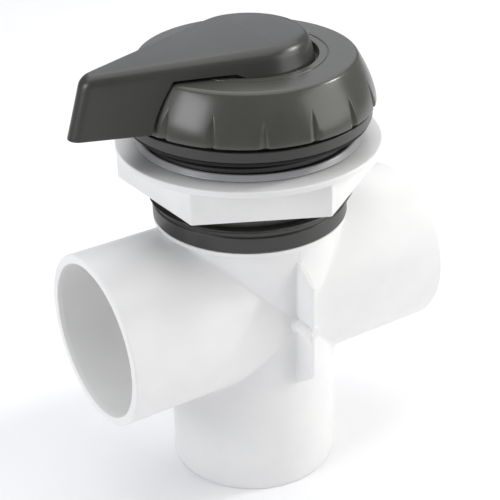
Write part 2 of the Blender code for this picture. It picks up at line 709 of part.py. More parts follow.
def crown(x, height):
    """Height of a point of the sloping top, which falls from the hub to the tip."""
    slope = (HANDLE_HUB_RISE - HANDLE_TIP_RISE) / HANDLE_REACH
    share = (height + HANDLE_DROP) / (HANDLE_DROP + HANDLE_HUB_RISE)
    return CAP_TOP + height + slope * min(x, 0.0) * max(0.0, share)


def lofted(name, levels, spec=None):
    """Joins outlines of equal length at rising heights into one closed solid."""
    bm = bmesh.new()
    rows = [[bm.verts.new((x, y, crown(x, height))) for x, y in outline]
            for height, outline in levels]
    count = len(rows[0])
    for low, high in zip(rows, rows[1:]):
        for k in range(count):
            bm.faces.new((low[k - 1], low[k], high[k], high[k - 1]))
    bm.faces.new(reversed(rows[0]))
    bm.faces.new(rows[-1])
    return finish(name, bm, spec)


def build_handle():
    """Lever handle: a drafted wedge on a round hub, hollow below, arched over the cap."""
    fillet = HANDLE_FILLET
    steps = 4
    levels = [(-HANDLE_DROP, handle_level(-HANDLE_DROP, 0.0))]
    for k in range(steps + 1):
        angle = math.pi / 2 * k / steps
        height = HANDLE_HUB_RISE - fillet * (1 - math.sin(angle))
        levels.append((height, handle_level(height, fillet * (1 - math.cos(angle)))))
    handle = lofted("handle", levels, DARK)

    below = CAP_Z - 10 * PAST
    clear = LEVER_CLEAR
    roof_z = CAP_TOP + GAP + TOP_CLEAR
    steps = 6
    arch = [(CAP_R + clear, below)]
    arch += [(cap_radius(CAP_H * k / steps) + clear, CAP_Z + CAP_H * k / steps)
             for k in range(steps + 1)]
    arch += [
        (cap_radius(CAP_H) + clear / 2, roof_z), (HUB_R + HUB_SIDE, roof_z),
        (HUB_R + HUB_SIDE, HUB_Z), (0.0, HUB_Z), (0.0, below),
    ]
    apply_boolean(handle, turned("cap_space", arch))

    wall = HANDLE_WALL
    roof = HANDLE_TIP_RISE - ROOF_DROP
    hollow = lofted("lever_hollow", [
        (-HANDLE_DROP - 2 * PAST, handle_level(-HANDLE_DROP, wall)),
        (roof, handle_level(roof, wall + WALL_DRAFT)),
    ])
    apply_boolean(hollow, rod("hub_keep", CAP_R - KEEP_INSET, CAP_Z - 10 * PAST, CAP_TOP + 20 * PAST))
    apply_boolean(handle, hollow)

    drive = prism(
        "drive_socket", square(SOCKET_FIT / 2), HUB_Z - 4 * PAST, BONNET_TOP + DRIVE_H + GAP
    )
    skirt_z = BONNET_TOP + 2 * GAP
    boss = turned("handle_boss", [
        (0.0, skirt_z), (CAP_HOLE_R - SKIRT_FIT, skirt_z), (CAP_HOLE_R - SKIRT_FIT, HUB_Z + PAST),
        (0.0, HUB_Z + PAST),
    ], None, 32)
    apply_boolean(handle, boss, "UNION")
    lug = prism(
        "stop_lug", pie(STOP_R_IN, STOP_R_OUT, 180.0, STOP_LUG_HALF, 4),
        BONNET_TOP - STOP_DEPTH + GAP, skirt_z + PAST,
    )
    apply_boolean(handle, lug, "UNION")
    apply_boolean(handle, drive)
    return handle


def hang_moving_parts():
    """Parents each moving group to an empty on its axis, so that it can be turned by hand."""
    groups = {
        "handle_axis": (
            "handle", "stem", "diverter_rotor", "gate_seal", "rotor_washer", "rotor_screw",
        ),
        "cap_axis": ("screw_cap", "cap_slip_washer"),
        "nut_axis": ("lock_nut",),
    }
    for axis_name, names in groups.items():
        axis = bpy.data.objects.new(axis_name, None)
        bpy.context.scene.collection.objects.link(axis)
        for name in names:
            bpy.data.objects[name].parent = axis


def main():
    clear_scene()
    build_valve_body()
    build_neck()
    build_deck_stack()
    build_bonnet()
    build_cap()
    build_stem()
    build_rotor()
    build_handle()
    hang_moving_parts()
    bpy.context.view_layer.update()


main()
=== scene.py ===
"""Looks of a three-port diverter valve: moulded white PVC body and nut, dark grey plastic neck,
deck ring, screw cap and lever handle, with its rubber, PTFE, acetal and steel inner pieces.

Shapes are worked out in millimetres with numpy and become metres in add_piece().
"""

import math

import bmesh
import bpy
import numpy as np
from mathutils import Matrix, Vector


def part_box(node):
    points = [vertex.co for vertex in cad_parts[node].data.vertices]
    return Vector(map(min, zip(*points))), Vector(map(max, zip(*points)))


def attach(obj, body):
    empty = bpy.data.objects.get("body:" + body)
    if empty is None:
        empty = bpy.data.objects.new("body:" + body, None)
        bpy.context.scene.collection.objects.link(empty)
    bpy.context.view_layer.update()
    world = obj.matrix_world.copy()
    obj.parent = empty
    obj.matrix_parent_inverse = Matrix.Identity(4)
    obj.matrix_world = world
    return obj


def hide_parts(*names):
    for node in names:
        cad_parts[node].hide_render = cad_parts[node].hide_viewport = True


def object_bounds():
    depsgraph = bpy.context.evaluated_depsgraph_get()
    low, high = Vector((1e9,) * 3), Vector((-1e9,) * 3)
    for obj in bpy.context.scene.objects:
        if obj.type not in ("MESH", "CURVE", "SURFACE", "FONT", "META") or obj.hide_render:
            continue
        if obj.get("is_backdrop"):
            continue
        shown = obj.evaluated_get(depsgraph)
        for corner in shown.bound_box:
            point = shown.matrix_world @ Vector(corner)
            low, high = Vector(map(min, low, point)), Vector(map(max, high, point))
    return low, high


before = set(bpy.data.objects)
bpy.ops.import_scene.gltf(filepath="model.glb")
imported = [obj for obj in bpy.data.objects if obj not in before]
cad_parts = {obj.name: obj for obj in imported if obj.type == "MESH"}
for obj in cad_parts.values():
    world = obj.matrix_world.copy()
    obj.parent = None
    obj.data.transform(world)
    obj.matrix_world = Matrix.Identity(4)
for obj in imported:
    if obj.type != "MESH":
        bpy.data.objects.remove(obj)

CAD_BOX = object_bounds()


def node_box(name):
    """Lowest and highest corner of a CAD node, in millimetres."""
    low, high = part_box(name)
    return np.array(low) * 1000, np.array(high) * 1000


# ---- sizes in millimetres: places from the frame, sections as named values ----
BODY = node_box("valve_body")
NECK = node_box("threaded_neck")
NUT = node_box("lock_nut")
SLIP = node_box("nut_slip_ring")
PAINTED_SHADE_GASKET = node_box("deck_gasket")
DECK = node_box("deck_flange_ring")
CAP = node_box("screw_cap")
ROTOR = node_box("diverter_rotor")
WEAR = node_box("rotor_wear_ring")
WASHER = node_box("rotor_washer")

PORT_Z = 77.0
REACH = BODY[1][0]
TUBE_R = 34.15
CREASE_R = 2.6              # soft inside corner where the tubes cross
SOCKET_R, SOCKET_DEPTH = 30.3, 38.0
PASSAGE_R = 26.2
CHAMBER_R, CHAMBER_FLOOR, CHAMBER_TOP = 30.0, 48.0, 108.0
FLOOR_STEP = 1.6            # height of the chamber wall's first ring over its floor
RIM_ROOM = 3.2              # where an arm's straight outside stops, short of its rim
SPIGOT_R, SPIGOT_TOP = 32.7, BODY[1][2]
COLLAR_R = 37.75
COLLAR_LOW, COLLAR_HIGH = 111.15, 113.0
FIN_THICK, FIN_PROUD, FIN_HALF, FIN_FLARE = 1.8, 9.5, 20.0, 7.5
NUB_R = 3.1
BEAD_HALF_W, BEAD_PROUD = 0.16, 0.10

PITCH = 5.0
NECK_BORE_R, ROOT_R, CREST_TIP_R = 33.0, 37.8, 40.4
NECK_BAND = 6.1
HELIX_Z = NECK[0][2] + 11.15
CREST_W, ROOT_W = 1.8, 3.0
NUT_BORE_R, NUT_MINOR_R, NUT_RIDGE_W = 40.8, 38.2, 1.5
HEX_R, HEX_TURN, HEX_ROUND = 50.4, 33.0, 0.9
HEX_EDGE, HEX_FILLET = 0.45, 0.5
DISC_LOW_EDGE, DISC_TOP_EDGE = 0.35, 0.5
STEP = 0.9                  # shadow gap turned into the deck ring's top
NUT_DISC_R, NUT_DISC_H = 50.6, 2.35

CAP_R, CAP_DRAW, CAP_POWER = 48.0, 7.6, 1.5
CAP_H = CAP[1][2] - CAP[0][2]
CAP_TOP = CAP[1][2]
FLUTES, FLUTE_DEPTH, FLUTE_H, FLUTE_TURN = 16, 1.1, 10.5, -1.4
FLUTE_GENTLE, FLUTE_STEEP = 2.4, 1.3
RECESS_R, RECESS_DEPTH, MOAT = 26.5, 2.1, 1.0

HUB_R, HUB_DRAFT = 24.6, 0.26
HANDLE_REACH, TIP_W, TIP_LEAN = 73.9, 4.4, 6.0
DROP, TIP_RISE, HUB_RISE = 16.7, 5.0, 8.5
HANDLE_FILLET, HANDLE_WALL, EDGE_ROUND, TOP_DOME = 4.0, 2.4, 0.35, 0.35
LEVER_CLEAR, TOP_CLEAR, BOSS_R, PLATE = 1.5, 1.1, 14.4, 3.5
RECESS_CLEAR = 0.5
CLIMB_START, CLIMB_RUN = 0.45, 1.3   # slope up out of the recess, past the hub
ROOF_THICK, HOLLOW_DRAFT = 3.6, 0.8

LIP_R, SKIRT_IN_R = 45.8, 43.8       # inside of the cap's skirt at its mouth, and above
THREAD_RISE, THREAD_END = 5.5, 9.5   # cap's mouth to its thread's two ends
CAP_ROOF, BOSS_HOLE_R = 3.5, 15.0
GROOVE_OUT_R, GROOVE_IN_R, GROOVE_DEPTH = 30.1, 29.4, 0.28

ROTOR_OUT_R, ROTOR_IN_R = 28.6, 25.6
ROTOR_BASE, ROTOR_LID = 3.0, 3.5
GATE_HALF = 79.0            # degrees either side of the gate's middle
SEAL_R, SEAL_T = 29.3, 0.4  # middle radius and half thickness of the seal's section
SEAL_LOOP_R, SEAL_HALF_W = 27.5, 0.5
WEAR_IN_R, SCREW_HOLE_R = 26.5, 2.3

COLUMNS = 192
MERGE = 2e-6                # metres
CREASE_ANGLE = 38.0         # degrees: sharper edges are drawn sharp


# ---- shape helpers ----
def rounded(corners, closed=False, arc_steps=5, support=0.2):
    """Outline (radius, height) whose corners are arcs.

    Each corner is (r, z, fillet). The arc's centre lies on the corner's bisector at
    fillet / sin(half angle), and one extra point lies just beside each arc on both straight
    runs, so that smooth shading stays flat along them.
    """
    points = []
    count = len(corners)
    for k, (r, z, fillet) in enumerate(corners):
        here = np.array([r, z], float)
        if not closed and k in (0, count - 1) or fillet == 0:
            points.append(here)
            continue
        before = np.array(corners[k - 1][:2], float) - here
        after = np.array(corners[(k + 1) % count][:2], float) - here
        len_before, len_after = np.linalg.norm(before), np.linalg.norm(after)
        before, after = before / len_before, after / len_after
        half = math.acos(np.clip(before @ after, -1, 1)) / 2
        reach = min(fillet / math.tan(half), 0.48 * len_before, 0.48 * len_after)
        fillet = reach * math.tan(half)
        bisector = (before + after) / np.linalg.norm(before + after)
        centre = here + bisector * fillet / math.sin(half)
        start, end = here + before * reach, here + after * reach
        if reach + 2 * support < 0.48 * len_before:
            points.append(here + before * (reach + support))
        first = math.atan2(*(start - centre)[::-1])
        sweep = math.atan2(*(end - centre)[::-1]) - first
        sweep = (sweep + math.pi) % (2 * math.pi) - math.pi
        angles = first + sweep * np.linspace(0, 1, arc_steps + 1)
        points.extend(centre + fillet * np.stack([np.cos(angles), np.sin(angles)], 1))
        if reach + 2 * support < 0.48 * len_after:
            points.append(here + after * (reach + support))
    return np.array(points)


def around(outline, angles):
    """A surface of revolution: each (r, z) of the outline carried round Z at each angle."""
    r, z = outline[:, :1], outline[:, 1:]
    flat = np.ones_like(angles)[None]
    return np.stack([r * np.cos(angles), r * np.sin(angles), z * flat], -1)


def full_turn(columns=COLUMNS):
    return np.linspace(0, 2 * math.pi, columns, endpoint=False)


def turned(corners, columns=COLUMNS):
    """A closed ring of revolution from closed corner points."""
    return around(rounded(corners, closed=True), full_turn(columns)), True, True


def thread_height(phase, crest_w, root_w):
    """Share of the thread's height at a phase of the pitch: 1 on the crest, 0 at the root.

    The flank is a straight slope, eased at both ends by a smooth step.
    """
    off = np.abs((phase + 0.5) % 1.0 - 0.5) * PITCH
    slope = np.clip((root_w / 2 - off) / ((root_w - crest_w) / 2), 0, 1)
    return slope * slope * (3 - 2 * slope) * 0.5 + slope * 0.5


def thread_wall(z_low, z_high, r_root, r_tip, crest_w, root_w, lift, angles, per_pitch=20):
    """Threaded cylinder wall from z_low to z_high.

    The rows follow the helix z = HELIX_Z + pitch * (turns + angle / full turn). Rows beyond
    the ends are held on them, and the ridge fades to the root within half a pitch of them.
    """
    first = math.floor((z_low - HELIX_Z) / PITCH) - 1
    last = math.ceil((z_high - HELIX_Z) / PITCH)
    turns = np.linspace(first, last, (last - first) * per_pitch + 1)[:, None]
    angle = np.append(angles, 2 * math.pi + angles[0])[None]
    z = HELIX_Z + PITCH * (turns + angle / (2 * math.pi))
    z = np.clip(z, z_low, z_high)
    room = np.minimum(z - z_low, z_high - z)
    fade = np.clip(room / (0.5 * PITCH) - 0.12, 0, 1)
    share = thread_height(turns + 0 * angle - lift, crest_w, root_w) * fade
    r = r_root + (r_tip - r_root) * share
    return np.stack([r * np.cos(angle), r * np.sin(angle), z], -1), False, False


def grid_quads(rows, columns, wrap_rows, wrap_columns, offset):
    i = np.arange(rows if wrap_rows else rows - 1)[:, None]
    j = np.arange(columns if wrap_columns else columns - 1)[None]
    next_i, next_j = (i + 1) % rows, (j + 1) % columns
    corner = lambda a, b: (a * columns + b).ravel() + offset
    return np.stack([
        corner(i, j + 0 * i), corner(i + 0 * j, next_j + 0 * i),
        corner(next_i + 0 * j, next_j + 0 * i), corner(next_i + 0 * j, j + 0 * i),
    ], 1)


def add_piece(name, grids, material, body, replaces=()):
    """Makes one object from grids of points in millimetres, with seams and poles closed."""
    points, quads, start = [], [], 0
    for grid, wrap_rows, wrap_columns in grids:
        rows, columns = grid.shape[:2]
        points.append(grid.reshape(-1, 3) / 1000)
        quads.append(grid_quads(rows, columns, wrap_rows, wrap_columns, start))
        start += rows * columns
    points = np.concatenate(points)
    quads = np.concatenate(quads)
    mesh = bpy.data.meshes.new(name)
    mesh.vertices.add(len(points))
    mesh.vertices.foreach_set("co", points.ravel())
    mesh.loops.add(quads.size)
    mesh.loops.foreach_set("vertex_index", quads.ravel().astype(np.int32))
    mesh.polygons.add(len(quads))
    mesh.polygons.foreach_set("loop_start", np.arange(0, quads.size, 4, dtype=np.int32))
    mesh.update(calc_edges=True)
    work = bmesh.new()
    work.from_mesh(mesh)
    bmesh.ops.remove_doubles(work, verts=work.verts, dist=MERGE)
    bmesh.ops.recalc_face_normals(work, faces=work.faces)
    work.to_mesh(mesh)
    work.free()
    mesh.shade_smooth()
    mesh.set_sharp_from_angle(angle=math.radians(CREASE_ANGLE))
    mesh.materials.append(material)
    piece = bpy.data.objects.new(name, mesh)
    bpy.context.scene.collection.objects.link(piece)
    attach(piece, body)
    if replaces:
        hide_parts(*replaces)
    return piece


# ---- materials ----
def linear(hex_colour):
    """sRGB hex to linear RGBA."""
    parts = [int(hex_colour[k:k + 2], 16) / 255 for k in (0, 2, 4)]
    return [c / 12.92 if c <= 0.04045 else ((c + 0.055) / 1.055) ** 2.4 for c in parts] + [1.0]


def add_node(tree, kind, settings=None, links=None, values=None):
    """Adds one node, sets its properties and socket values, and links sockets into it."""
    node = tree.nodes.new(kind)
    for key, value in (settings or {}).items():
        setattr(node, key, value)
    for key, value in (values or {}).items():
        node.inputs[key].default_value = value
    for key, source in (links or {}).items():
        tree.links.new(source, node.inputs[key])
    return node


def new_material(name, values):
    material = bpy.data.materials.new(name)
    material.use_nodes = True
    tree = material.node_tree
    shader = tree.nodes["Principled BSDF"]
    for key, value in values.items():
        shader.inputs[key].default_value = value
    coords = add_node(tree, "ShaderNodeTexCoord")
    return material, tree, shader, coords.outputs["Object"]


def mix_colours(tree, shader, factor, low, high):
    mix = add_node(
        tree, "ShaderNodeMix", {"data_type": "RGBA"}, {0: factor}, {6: linear(low), 7: linear(high)}
    )
    tree.links.new(mix.outputs[2], shader.inputs["Base Color"])


def noise(tree, coords, size_mm, detail=3.0, rough=0.5):
    """Noise whose grains are about size_mm across."""
    return add_node(
        tree, "ShaderNodeTexNoise", None, {"Vector": coords},
        {"Scale": 1000 / size_mm, "Detail": detail, "Roughness": rough},
    ).outputs["Fac"]


def spread(tree, factor, low_in, high_in, low_out, high_out):
    """Carries a factor from one range to another, held at its ends."""
    return add_node(tree, "ShaderNodeMapRange", None, {"Value": factor}, {
        "From Min": low_in, "From Max": high_in, "To Min": low_out, "To Max": high_out,
    }).outputs["Result"]


def bump(tree, shader, layers):
    """Chains height layers, each (factor, height in mm), into the shader's normal."""
    normal = None
    for factor, height_mm in layers:
        links = {"Height": factor}
        if normal:
            links["Normal"] = normal
        node = add_node(
            tree, "ShaderNodeBump", None, links, {"Distance": height_mm / 1000, "Strength": 1.0}
        )
        normal = node.outputs["Normal"]
    tree.links.new(normal, shader.inputs["Normal"])


def moulded_pvc(name, low, high, roughness):
    """White rigid PVC from a polished mould: glossy, with faint flow clouds about 20 mm
    wide, a gloss that drifts as slowly, and a slow waviness of the wall that bends its
    reflections."""
    material, tree, shader, coords = new_material(name, {"IOR": 1.53})
    clouds = noise(tree, coords, 22, 4.0, 0.55)
    mix_colours(tree, shader, spread(tree, clouds, 0.35, 0.65, 0, 1), low, high)
    gloss = noise(tree, coords, 18, 1.0)
    tree.links.new(
        spread(tree, gloss, 0.3, 0.7, roughness - 0.03, roughness + 0.04),
        shader.inputs["Roughness"],
    )
    bump(tree, shader, [(noise(tree, coords, 26, 1.0), 0.03)])
    return material


def textured_abs(name, low, high, roughness):
    """Dark grey ABS from a spark-eroded mould: satin, with a fine pebbled grain drawn at
    0.5 mm, coarser than the real 0.1 mm, so that it shows, and a gloss that drifts slowly."""
    material, tree, shader, coords = new_material(name, {"IOR": 1.52})
    clouds = noise(tree, coords, 16, 5.0, 0.6)
    mix_colours(tree, shader, spread(tree, clouds, 0.3, 0.7, 0, 1), low, high)
    grain = noise(tree, coords, 0.5, 3.0, 0.6)
    wear = noise(tree, coords, 18, 1.5, 0.5)
    tree.links.new(
        spread(tree, wear, 0.3, 0.7, roughness - 0.02, roughness + 0.02),
        shader.inputs["Roughness"],
    )
    bump(tree, shader, [(noise(tree, coords, 24, 1.0), 0.03), (grain, 0.004)])
    return material


def moulded_rubber(name):
    """Black EPDM: matt, with a dusty grain."""
    material, tree, shader, coords = new_material(name, {"IOR": 1.5, "Roughness": 0.8})
    grain = noise(tree, coords, 0.5, 4.0, 0.6)
    mix_colours(tree, shader, grain, "080808", "161615")
    bump(tree, shader, [(grain, 0.02)])
    return material


def natural_polymer(name, low, high, roughness):
    """Acetal or PTFE, moulded or skived: waxy, with soft mottling."""
    material, tree, shader, coords = new_material(name, {"IOR": 1.48, "Roughness": roughness})
    mix_colours(tree, shader, noise(tree, coords, 6, 4.0), low, high)
    bump(tree, shader, [(noise(tree, coords, 1.2), 0.01)])
    return material


def turned_stainless(name):
    """Stainless steel turned on a lathe: rings about Z, drawn 1.3 mm apart, coarser than
    real turning marks, so that they show. A wave repeats every 2 pi / 20 / scale metres."""
    material, tree, shader, coords = new_material(name, {"Metallic": 1.0})
    rings = add_node(
        tree, "ShaderNodeTexWave", {"wave_type": "RINGS", "rings_direction": "Z"},
        {"Vector": coords}, {"Scale": 250.0, "Distortion": 0.6, "Detail": 2.0},
    ).outputs["Fac"]
    mix_colours(tree, shader, rings, "a9a8a4", "d2d0cb")
    tree.links.new(spread(tree, rings, 0, 1, 0.29, 0.38), shader.inputs["Roughness"])
    bump(tree, shader, [(rings, 0.006)])
    return material


# ---- the white body ----
def crossing_skin(points):
    """Signed distance to two crossing tubes with a rolled inside corner.

    points hold (along, over, y): the arm's own axis, the crossing arm's axis and Y. The
    smooth minimum's width k = 4 r (1 - cos(psi / 2)), where psi is the angle between the
    two walls, gives a fillet of radius r that dies out where the walls are tangent.
    """
    along, over, y = points
    own = np.hypot(over, y)
    other = np.hypot(along, y)
    cos_psi = np.clip(y * y / (own * other), -1, 1)
    k = 4 * CREASE_R * (1 - np.sqrt((1 + cos_psi) / 2)) + 1e-9
    a, b = own - TUBE_R, other - TUBE_R
    return np.minimum(a, b) - np.maximum(k - np.abs(a - b), 0) ** 2 / (4 * k)


def settle(points, steps=7, probe=1e-3):
    """Newton steps along the gradient, onto the skin."""
    for _ in range(steps):
        here = crossing_skin(points)
        slope = np.stack([
            (crossing_skin(points + probe * unit) - crossing_skin(points - probe * unit))
            / (2 * probe)
            for unit in np.eye(3).reshape(3, 3, 1, 1)
        ])
        points = points - here * slope / (slope ** 2).sum(0)
    return points


def arm(length, inner, rows=46):
    """Outside of one arm from the crease |along| = |over|, then a turned inner outline.

    Returns (along, over, y) of each point, rows from the crease outwards and then in.
    """
    angles = full_turn()
    over, y = TUBE_R * np.sin(angles), TUBE_R * np.cos(angles)
    start = np.abs(over)
    share = (np.linspace(0, 1, rows) ** 1.9)[:, None]
    along = start + (length - start) * share
    outside = settle(np.stack([along, over + 0 * along, y + 0 * along]))
    turned_part = np.stack([
        inner[:, 1:] + 0 * angles, inner[:, :1] * np.sin(angles), inner[:, :1] * np.cos(angles)
    ])
    return np.concatenate([outside, turned_part], 1)


def socket_corners(length):
    """Rim with eased edges, lead-in, slightly tapered bore and the pipe's stop shoulder."""
    return [
        (TUBE_R, length - 3.0, 0), (TUBE_R, length, 0.7), (SOCKET_R + 0.3, length, 0.45),
        (SOCKET_R, length - 2.0, 0.5), (SOCKET_R - 0.1, length - SOCKET_DEPTH, 0.4),
        (PASSAGE_R, length - SOCKET_DEPTH, 0.5),
    ]


def side_arm(sign):
    """Side socket, whose last ring is the window where its passage meets the chamber."""
    inner = rounded(socket_corners(REACH) + [(PASSAGE_R, REACH - SOCKET_DEPTH - 1.5, 0)])
    along, over, y = arm(REACH - RIM_ROOM, inner)
    y_end = y[-1:]
    meets = np.sqrt(CHAMBER_R ** 2 - y_end ** 2)
    along = np.concatenate([along, meets])
    over = np.concatenate([over, over[-1:]])
    y = np.concatenate([y, y_end])
    return np.stack([sign * along, y, PORT_Z + over], -1), False, True


def upright_arm(sign):
    """Lower socket, or the upper tube with its spigot inside the neck."""
    if sign < 0:
        floor = PORT_Z - CHAMBER_FLOOR
        inner = rounded(socket_corners(PORT_Z) + [
            (PASSAGE_R, floor, 0.4), (CHAMBER_R, floor, 0), (CHAMBER_R, floor - FLOOR_STEP, 0),
        ])
        length = PORT_Z - RIM_ROOM
    else:
        top = SPIGOT_TOP - PORT_Z
        inner = rounded([
            (TUBE_R - 0.6, TUBE_R + 1.1, 0), (SPIGOT_R, TUBE_R + 1.2, 0), (SPIGOT_R, top, 0.4),
            (CHAMBER_R, top, 0.4), (CHAMBER_R, CHAMBER_TOP - PORT_Z, 0),
        ])
        length = TUBE_R + 1.0
    along, over, y = arm(length, inner)
    return np.stack([over, y, PORT_Z + sign * along], -1), False, True


def chamber_wall(sign, rows=9):
    """Half of the chamber's wall, between the side window and the rings above and below.

    Columns run round the window. y and z blend in a straight line from the window's rim to
    the upper or lower ring, and x = sqrt(chamber radius^2 - y^2) keeps each point on the wall.
    """
    angles = full_turn()
    upper = np.append(angles[:COLUMNS // 2], math.pi)
    lower = np.append(angles[COLUMNS // 2:], 2 * math.pi)
    loop = np.concatenate([upper, lower])
    ring_z = np.where(np.arange(len(loop)) < len(upper), CHAMBER_TOP, CHAMBER_FLOOR + FLOOR_STEP)
    share = np.linspace(0, 1, rows)[:, None]
    y = np.cos(loop) * (PASSAGE_R + (CHAMBER_R - PASSAGE_R) * share)
    z = (PORT_Z + PASSAGE_R * np.sin(loop)) * (1 - share) + ring_z * share
    x = sign * np.sqrt(np.maximum(CHAMBER_R ** 2 - y ** 2, 0))
    return np.stack([x, y, z], -1), False, True


def moulding_fin():
    """Flat fin over the mould's parting plane, swept along Z.

    Its section is a slab with a flared foot and an eased edge; the height of the section is
    cut down to the trapezium's height at each z.
    """
    half, foot, edge = FIN_THICK / 2, 0.8, 0.45
    bend = np.linspace(0, math.pi / 2, 5)
    foot_arc = np.stack([-(half + foot) + foot * np.sin(bend), foot - foot * np.cos(bend)], 1)
    edge_arc = np.stack([
        -half + edge - edge * np.cos(bend), FIN_PROUD - edge + edge * np.sin(bend)
    ], 1)
    left = np.concatenate([
        [[-half - foot, -1.5]], foot_arc, [[-half, 3.0], [-half, 6.0]], edge_arc
    ])
    section = np.concatenate([left, left[::-1] * [-1, 1]])
    top = FIN_HALF + FIN_FLARE
    z = np.concatenate([
        [-top - 0.3], np.linspace(-top, -FIN_HALF, 12), np.linspace(-FIN_HALF, FIN_HALF, 9)[1:-1],
        np.linspace(FIN_HALF, top, 12), [top + 0.3],
    ])[:, None]
    height = FIN_PROUD * np.clip((top - np.abs(z)) / FIN_FLARE, 0, 1) - 0.02
    x = section[:, 0][None] + 0 * z
    out = np.minimum(section[:, 1][None], height)
    ends = np.abs(z) > top
    x, out = np.where(ends, 0, x), np.where(ends, -1.0, out)
    y = -np.sqrt(TUBE_R ** 2 - x ** 2) - out
    return np.stack([x, y, PORT_Z + z + 0 * x], -1), False, True


def gate_nub():
    """Round nub where the mould was filled: a peg about -Y with a flared foot and a break mark."""
    tip = TUBE_R + FIN_PROUD - 0.4
    outline = rounded([
        (0, TUBE_R - 1.5, 0), (NUB_R + 0.9, TUBE_R - 1.5, 0), (NUB_R + 0.9, TUBE_R + 0.05, 0),
        (NUB_R, TUBE_R + 0.9, 0.6), (NUB_R - 0.05, tip, 0.5), (1.2, tip, 0.2),
        (1.0, tip + 0.45, 0.15), (0, tip + 0.3, 0),
    ])
    angles = full_turn(40)
    r, out = outline[:, :1], outline[:, 1:]
    peg = np.stack([r * np.cos(angles), -out + 0 * angles, PORT_Z + r * np.sin(angles)], -1)
    return peg, False, True


def parting_line():
    """Witness of the mould's joint: a fine half-round bead up the front of the upper tube."""
    z = np.array([PORT_Z + FIN_HALF + FIN_FLARE - 0.5, COLLAR_LOW + 0.3])[:, None]
    turn = full_turn(10)[None]
    x = BEAD_HALF_W * np.cos(turn) + 0 * z
    y = -TUBE_R + BEAD_PROUD * np.sin(turn) + 0 * z
    return np.stack([x, y, z + 0 * x], -1), False, True


def build_body(pvc):
    """White body: four arms, the chamber between them, collar, fin, nub and parting line."""
    collar = turned([
        (TUBE_R - 1.2, COLLAR_LOW, 0), (COLLAR_R, COLLAR_LOW, 0.5), (COLLAR_R, COLLAR_HIGH, 0.35),
        (TUBE_R - 1.2, COLLAR_HIGH, 0),
    ])
    add_piece("body_shell", [
        side_arm(1), side_arm(-1), upright_arm(1), upright_arm(-1), chamber_wall(1),
        chamber_wall(-1), collar,
    ], pvc, "valve", ["valve_body"])
    add_piece(
        "body_moulding_fin", [moulding_fin(), gate_nub(), parting_line()], pvc, "valve"
    )


# ---- threaded pieces ----
def build_neck(abs_dark):
    """Neck: plain band, threaded wall, and turned ends that meet inside on the bore."""
    low, high = NECK[0][2], NECK[1][2]
    angles = full_turn()
    band_top = low + NECK_BAND
    first, last = band_top + 1.4, high - 0.9
    wall = thread_wall(first, last, ROOT_R, CREST_TIP_R, CREST_W, ROOT_W, 0.0, angles)
    below = rounded([
        (NECK_BORE_R, first + 3, 0), (NECK_BORE_R, low, 0.3), (ROOT_R + 0.05, low, 0.3),
        (ROOT_R + 0.05, band_top, 0.45), (ROOT_R - 0.5, band_top + 0.25, 0.2), (ROOT_R, first, 0),
    ])
    above = rounded([
        (ROOT_R, last, 0), (ROOT_R, high, 0.6), (NECK_BORE_R, high, 0.4),
        (NECK_BORE_R, first + 3, 0),
    ])
    add_piece("neck_skin", [
        wall, (around(below, angles), False, True), (around(above, angles), False, True),
    ], abs_dark, "valve", ["threaded_neck"])


def inner_thread(z_low, z_high, angles, per_pitch=12):
    """Inside thread that fits the neck: its ridge sits half a pitch from the neck's."""
    slope = (ROOT_W - CREST_W) / (CREST_TIP_R - ROOT_R)
    root_w = NUT_RIDGE_W + slope * (NUT_BORE_R - NUT_MINOR_R)
    return thread_wall(
        z_low, z_high, NUT_BORE_R, NUT_MINOR_R, NUT_RIDGE_W, root_w, 0.5, angles, per_pitch
    )


def build_deck_ring(abs_dark, rubber):
    """Ring above the deck with its inside thread, and a black rubber gasket turned under it, which
    is painted shade for the dark gap under the ring.
    """
    low, high, r = DECK[0][2], DECK[1][2], DECK[1][0]
    outer = rounded([
        (NUT_BORE_R, low + 0.3, 0), (NUT_BORE_R + 0.3, low, 0.1), (r, low, 0.4),
        (r, high - STEP, 0.35), (r - 2.2, high - STEP, 0.2), (r - 2.2, high, 0.2),
        (NUT_BORE_R + 0.3, high, 0.1), (NUT_BORE_R, high - 0.3, 0),
    ])
    angles = full_turn()
    add_piece("deck_ring_skin", [
        inner_thread(low + 0.3, high - 0.3, angles), (around(outer, angles), False, True),
    ], abs_dark, "valve", ["deck_flange_ring"])
    # The black gasket is painted shade: a dark ring that fills the shadowed gap under the deck
    # ring.
    low, high, r = PAINTED_SHADE_GASKET[0][2], PAINTED_SHADE_GASKET[1][2], PAINTED_SHADE_GASKET[1][0]
    add_piece("gasket_painted_shade_skin", [turned([
        (NUT_BORE_R, low, 0.2), (r, low, 0.5), (r, high, 0.5), (NUT_BORE_R, high, 0.2),
    ])], rubber, "valve", ["deck_gasket"])


def hexagon(angles):
    """Radius of a hexagon with rounded corners at each angle.

    Between corners r = apothem / cos(angle from the flat's middle). Near a corner r is where
    the ray meets the corner circle: D cos(e) + sqrt(rho^2 - D^2 sin(e)^2).
    """
    apothem = HEX_R * math.cos(math.pi / 6)
    centre = (apothem - HEX_ROUND) / math.cos(math.pi / 6)
    sixth = math.pi / 3
    off = (angles - math.radians(HEX_TURN) + sixth / 2) % sixth - sixth / 2
    limit = math.atan2(HEX_ROUND * 0.5, centre + HEX_ROUND * math.cos(math.pi / 6))
    flat = apothem / np.cos(sixth / 2 - np.abs(off))
    rounded_r = centre * np.cos(off) + np.sqrt(
        np.maximum(HEX_ROUND ** 2 - (centre * np.sin(off)) ** 2, 0)
    )
    return np.where(np.abs(off) < limit, rounded_r, flat)


